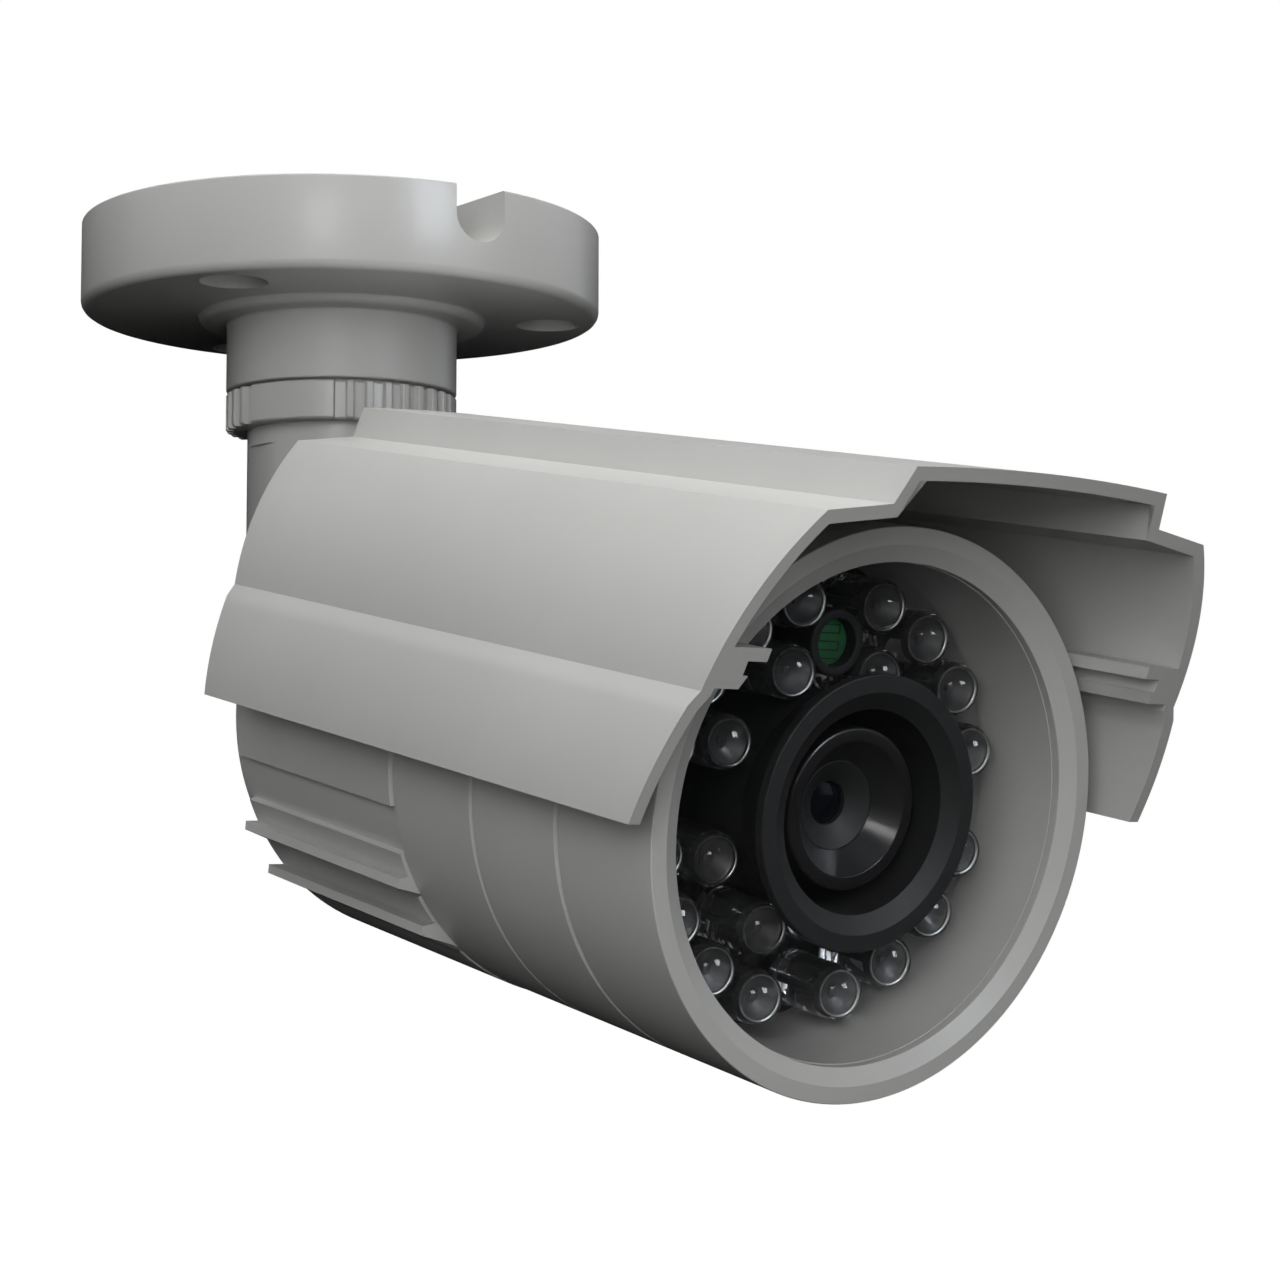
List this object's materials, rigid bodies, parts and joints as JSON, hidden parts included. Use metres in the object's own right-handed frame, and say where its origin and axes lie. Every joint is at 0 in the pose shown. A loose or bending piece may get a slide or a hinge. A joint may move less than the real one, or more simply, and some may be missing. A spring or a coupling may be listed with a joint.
{
  "type": "security camera",
  "caption": "Bullet security camera with infrared lamps and a sliding sunshield, on a ceiling bracket that pans, tilts and rolls.",
  "frame": {"origin": "centre of the bracket base's mounting face", "axes": "+Z into the ceiling or wall that the base is screwed to, -Y the way the lens looks, +X to the right seen from in front"},
  "size_m": [0.0588, 0.1397, 0.091],
  "materials": {
    "painted_housing": "light warm grey satin powder coat on die-cast or extruded aluminium",
    "steel": "plain plated steel",
    "brass": "turned brass",
    "black_nylon": "matt black moulded nylon",
    "black_anodised": "black anodised aluminium",
    "window_glass": "clear flat glass",
    "lamp_epoxy": "clear moulded epoxy",
    "lens_glass": "coated optical glass",
    "filter_glass": "blue-green filter glass",
    "tinned_wire": "tinned wire",
    "rubber": "matt black rubber",
    "black_board": "black solder mask on glass-fibre board",
    "green_board": "green solder mask on glass-fibre board",
    "sensor_cell": "green coated cell with a fine winding track",
    "chip_resin": "black moulded resin",
    "chip_ceramic": "sensor package with a cover glass",
    "ivory_nylon": "ivory moulded connector",
    "capacitor_can": "aluminium can in a dark sleeve",
    "ribbon_vinyl": "grey flat cable"
  },
  "bodies": {
    "base": {"mount_base": "painted_housing"},
    "pan_ring": {"pan_lock_ring": "painted_housing"},
    "arm": {"bracket_arm": "painted_housing", "tilt_nut": "steel", "tilt_washers": "black_nylon"},
    "clamp_screw": {"tilt_screw": "steel"},
    "knuckle": {"tilt_knuckle": "painted_housing"},
    "roll_ring": {"roll_lock_ring": "painted_housing"},
    "lens": {"lens_barrel": "black_anodised", "lens_front_element": "lens_glass", "lens_rear_element": "lens_glass"},
    "focus_ring": {"lens_lock_ring": "black_anodised"},
    "shield": {"sunshield": "painted_housing"},
    "lock_screw": {"shield_set_screw": "steel"},
    "camera": {"front_bezel": "painted_housing", "inner_sleeve": "painted_housing", "front_tube": "painted_housing", "rear_housing": "painted_housing", "rear_cap": "painted_housing", "front_window": "window_glass", "window_seal": "rubber", "housing_seal": "rubber", "rear_cap_seal": "rubber", "cable_gland": "rubber", "rear_cap_screws": "steel", "roll_stud": "steel", "led_board": "black_board", "led_lenses": "lamp_epoxy", "led_leads": "tinned_wire", "light_sensor_holder": "black_nylon", "light_sensor_cell": "sensor_cell", "led_board_screws": "steel", "front_standoffs": "brass", "rear_standoffs": "brass", "sensor_board": "green_board", "power_board": "green_board", "power_board_screws": "steel", "video_chip": "chip_resin", "board_connector": "ivory_nylon", "power_capacitor": "capacitor_can", "power_coil": "chip_resin", "ribbon_socket": "ivory_nylon", "led_ribbon": "ribbon_vinyl", "lens_hood": "black_nylon", "lens_mount": "black_nylon", "lens_mount_screws": "steel", "infrared_filter": "filter_glass", "image_sensor": "chip_ceramic"}
  },
  "joints": [
    {"name": "pan", "type": "hinge", "parent": "base", "child": "arm", "pos_m": [0, 0, -0.0303], "axis": [0, 0, 1], "range_deg": [-175, 175]},
    {"name": "pan_ring_turn", "type": "hinge", "parent": "base", "child": "pan_ring", "pos_m": [0, 0, -0.021], "axis": [0, 0, 1], "range_deg": [0, 90]},
    {"name": "tilt", "type": "hinge", "parent": "arm", "child": "knuckle", "pos_m": [0, 0, -0.0503], "axis": [1, 0, 0], "range_deg": [-15, 80]},
    {"name": "clamp_screw_turn", "type": "hinge", "parent": "arm", "child": "clamp_screw", "pos_m": [0, 0, -0.0503], "axis": [1, 0, 0], "range_deg": [0, 90]},
    {"name": "roll", "type": "hinge", "parent": "knuckle", "child": "camera", "pos_m": [0, 0, -0.0503], "axis": [0, 0.9847, 0.1743], "range_deg": [-175, 175]},
    {"name": "roll_ring_turn", "type": "hinge", "parent": "knuckle", "child": "roll_ring", "pos_m": [0, -0.01546, -0.05304], "axis": [0, 0.9847, 0.1743], "range_deg": [0, 90]},
    {"name": "shield_slide", "type": "slide", "parent": "camera", "child": "shield", "axis": [0, -0.9847, -0.1743], "range_m": [-0.004, 0.012]},
    {"name": "set_screw_turn", "type": "hinge", "parent": "shield", "child": "lock_screw", "pos_m": [0, -0.042, -0.0293], "axis": [0, -0.1743, 0.9847], "range_deg": [0, 180]},
    {"name": "focus", "type": "hinge", "parent": "camera", "child": "lens", "pos_m": [0, -0.07651, -0.06385], "axis": [0, 0.9847, 0.1743], "range_deg": [-120, 120]},
    {"name": "focus_ring_turn", "type": "hinge", "parent": "camera", "child": "focus_ring", "pos_m": [0, -0.07749, -0.06402], "axis": [0, 0.9847, 0.1743], "range_deg": [0, 90]}
  ]
}
